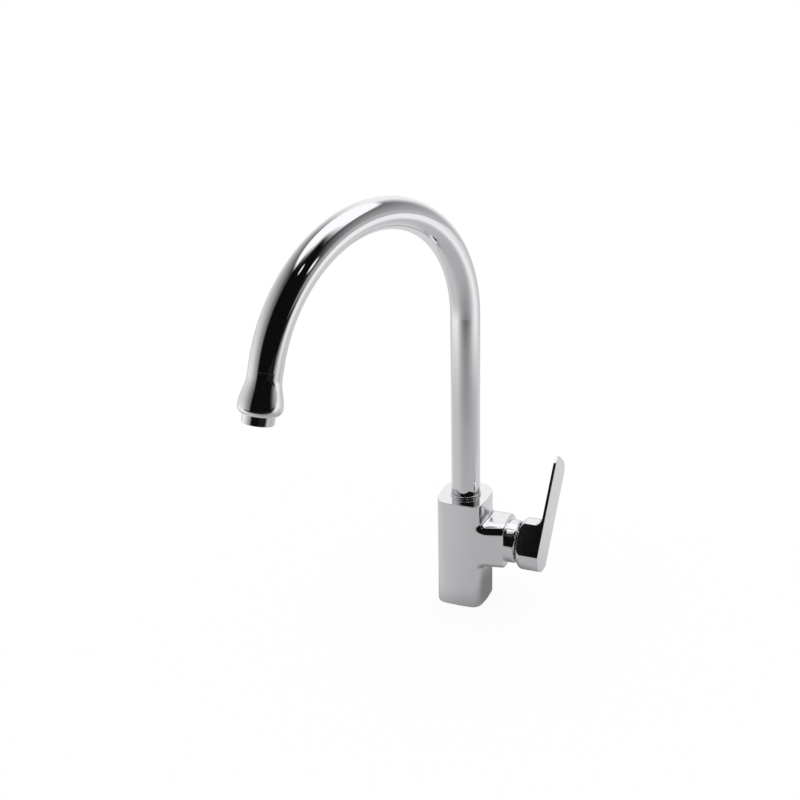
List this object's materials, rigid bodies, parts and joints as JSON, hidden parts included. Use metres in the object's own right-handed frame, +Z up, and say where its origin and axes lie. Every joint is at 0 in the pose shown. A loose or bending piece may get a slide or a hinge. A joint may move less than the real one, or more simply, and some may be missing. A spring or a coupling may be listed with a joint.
{
  "type": "three way filtered water tap",
  "caption": "Tall kitchen tap with a swan-neck swivel spout, a square body and one side lever for hot, cold and filtered water, which keeps its own way to the outlet.",
  "frame": {"origin": "on the spout's swivel axis, at the worktop the body stands on", "axes": "+Z up; the front of the tap looks along -Y; the lever is on the +X side; the spout rests 19 degrees from the front toward -X and the lever rests turned 40 degrees back, as in the picture"},
  "size_m": [0.1627, 0.2903, 0.3921],
  "materials": {
    "chrome": "polished",
    "brass": "machined",
    "steel": "satin",
    "rubber": "matte",
    "white_plastic": "moulded",
    "ceramic": "lapped and polished",
    "clear_hose": "smooth, milky"
  },
  "bodies": {
    "tap_body": {"mixer_body": "chrome", "base_seal": "rubber", "slip_ring": "chrome", "stop_screw": "steel", "port_seals": "rubber", "cartridge_base": "white_plastic", "fixed_disc": "ceramic", "cartridge_housing": "white_plastic", "lock_nut": "brass", "collar": "chrome", "collar_seal": "rubber"},
    "spout": {"spout_adaptor": "brass", "swivel_seals": "rubber", "bearing_ring": "white_plastic", "spout_tube": "chrome", "spout_bell": "chrome", "aerator_washer": "rubber", "aerator_housing": "chrome", "aerator_insert": "white_plastic", "aerator_screen": "steel", "filter_tube": "clear_hose", "filter_nipple": "white_plastic", "filter_jet": "white_plastic"},
    "carrier": {"spindle_carrier": "white_plastic", "pivot_pin": "steel"},
    "lever_arm": {"cartridge_spindle": "brass", "lever": "chrome", "lever_screw": "steel", "lever_cap": "chrome"},
    "disc": {"moving_disc": "ceramic"}
  },
  "joints": [
    {"name": "spout_swivel", "type": "hinge", "parent": "tap_body", "child": "spout", "pos_m": [0, 0, 0.1015], "axis": [0, 0, 1], "range_deg": [-61, 99]},
    {"name": "lever_turn", "type": "hinge", "parent": "tap_body", "child": "carrier", "pos_m": [0.037, 0, 0.0615], "axis": [1, 0, 0], "range_deg": [-10, 130]},
    {"name": "lever_open", "type": "hinge", "parent": "carrier", "child": "lever_arm", "pos_m": [0.037, 0, 0.0615], "axis": [0, 0.766, -0.6428], "range_deg": [0, 20]},
    {"name": "disc_slide", "type": "slide", "parent": "carrier", "child": "disc", "axis": [0, 0.6428, 0.766], "range_m": [0, 0.00368]}
  ],
  "couplings": [
    {"joint": "disc_slide", "follows": "lever_open", "m_per_rad": 0.010545}
  ]
}
